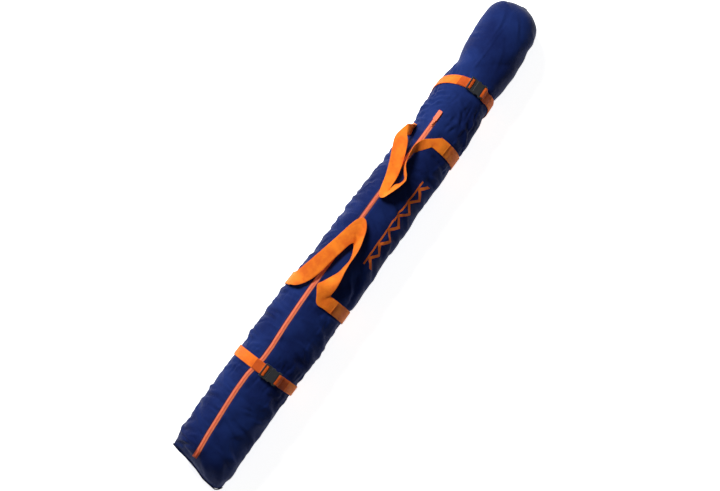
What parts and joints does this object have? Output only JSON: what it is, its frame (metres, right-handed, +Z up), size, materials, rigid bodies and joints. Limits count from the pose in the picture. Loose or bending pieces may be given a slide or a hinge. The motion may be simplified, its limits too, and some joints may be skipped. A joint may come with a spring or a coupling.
{
  "type": "padded ski bag",
  "caption": "Long padded bag for skis, lying down, with a lengthwise zip, webbing carry handles and buckled compression straps.",
  "frame": {"origin": "on the floor under the middle of the bag, on the flat underside", "axes": "+X towards the rounded top end, +Y towards the side that the zip is nearer to, +Z up, the bag lying with its zip upwards"},
  "size_m": [2.06, 0.2532, 0.2465],
  "materials": {
    "outer_fabric": "satin woven nylon over padding",
    "foam": "soft foam wadding",
    "lining_fabric": "plain woven lining",
    "orange_webbing": "ribbed flat webbing",
    "zip_tape": "woven zip tape",
    "zip_coil": "nylon coil",
    "slider_metal": "enamelled",
    "pull_grip": "moulded soft grip",
    "buckle_plastic": "moulded, fine grain"
  },
  "bodies": {
    "bag": {"front_panel": "outer_fabric", "back_panel": "outer_fabric", "bottom_end_panel": "outer_fabric", "top_extension": "outer_fabric", "top_end_cap": "outer_fabric", "foam_padding": "foam", "lining": "lining_fabric", "zipper_tape_left": "zip_tape", "zipper_tape_right": "zip_tape", "zipper_coil_left": "zip_coil", "zipper_coil_right": "zip_coil", "zipper_stops": "zip_coil", "lower_handle_band": "orange_webbing", "upper_handle_band": "orange_webbing", "lower_handle_roots": "orange_webbing", "upper_handle_roots": "orange_webbing", "lower_strap_ring": "orange_webbing", "lower_strap_fold": "orange_webbing", "lower_buckle_socket": "buckle_plastic", "upper_strap_ring": "orange_webbing", "upper_strap_fold": "orange_webbing", "upper_buckle_socket": "buckle_plastic"},
    "slider": {"zip_slider": "slider_metal"},
    "pull": {"zip_pull_tab": "slider_metal", "zip_pull_grip": "pull_grip"},
    "lower_handle": {"lower_handle_loop": "orange_webbing"},
    "upper_handle": {"upper_handle_loop": "orange_webbing"},
    "lower_plug": {"lower_buckle_plug": "buckle_plastic", "lower_strap_tail": "orange_webbing"},
    "upper_plug": {"upper_buckle_plug": "buckle_plastic", "upper_strap_tail": "orange_webbing"},
    "lower_arm_bottom": {"lower_buckle_arm_bottom": "buckle_plastic"},
    "lower_arm_top": {"lower_buckle_arm_top": "buckle_plastic"},
    "upper_arm_bottom": {"upper_buckle_arm_bottom": "buckle_plastic"},
    "upper_arm_top": {"upper_buckle_arm_top": "buckle_plastic"}
  },
  "joints": [
    {"name": "zip_slide", "type": "slide", "parent": "bag", "child": "slider", "axis": [1, 0, 0], "range_m": [-0.98, 0]},
    {"name": "pull_flip", "type": "hinge", "parent": "slider", "child": "pull", "pos_m": [0.456, 0.04251, 0.19792], "axis": [0, -0.9511, 0.309], "range_deg": [0, 170]},
    {"name": "lower_handle_swing", "type": "hinge", "parent": "bag", "child": "lower_handle", "pos_m": [-0.25, 0.1201, 0.1495], "axis": [0, -0.9211, 0.3894], "range_deg": [0, 72], "deforming": ["lower_handle_roots"]},
    {"name": "upper_handle_swing", "type": "hinge", "parent": "bag", "child": "upper_handle", "pos_m": [0.388, 0.1171, 0.1356], "axis": [0, 0.8707, -0.4918], "range_deg": [0, 64], "deforming": ["upper_handle_roots"]},
    {"name": "lower_buckle_pull_out", "type": "slide", "parent": "bag", "child": "lower_plug", "axis": [0.0174, 0.9971, 0.0744], "range_m": [0, 0.028], "deforming": ["lower_buckle_arm_bottom", "lower_buckle_arm_top"]},
    {"name": "lower_arm_bottom_flex", "type": "hinge", "parent": "lower_plug", "child": "lower_arm_bottom", "pos_m": [-0.59801, -0.00072, 0.20644], "axis": [-0.0013, -0.0744, 0.9972], "range_deg": [0, 9], "stiffness_Nm_per_rad": 0.2},
    {"name": "lower_arm_top_flex", "type": "hinge", "parent": "lower_plug", "child": "lower_arm_top", "pos_m": [-0.56802, -0.00124, 0.20644], "axis": [0.0013, 0.0744, -0.9972], "range_deg": [0, 9], "stiffness_Nm_per_rad": 0.2},
    {"name": "upper_buckle_pull_out", "type": "slide", "parent": "bag", "child": "upper_plug", "axis": [-0.0347, 0.9944, 0.0996], "range_m": [0, 0.028], "deforming": ["upper_buckle_arm_bottom", "upper_buckle_arm_top"]},
    {"name": "upper_arm_bottom_flex", "type": "hinge", "parent": "upper_plug", "child": "upper_arm_bottom", "pos_m": [0.64148, -0.00168, 0.19854], "axis": [0.0035, -0.0995, 0.995], "range_deg": [0, 9], "stiffness_Nm_per_rad": 0.2},
    {"name": "upper_arm_top_flex", "type": "hinge", "parent": "upper_plug", "child": "upper_arm_top", "pos_m": [0.67146, -0.00063, 0.19854], "axis": [-0.0035, 0.0995, -0.995], "range_deg": [0, 9], "stiffness_Nm_per_rad": 0.2}
  ]
}
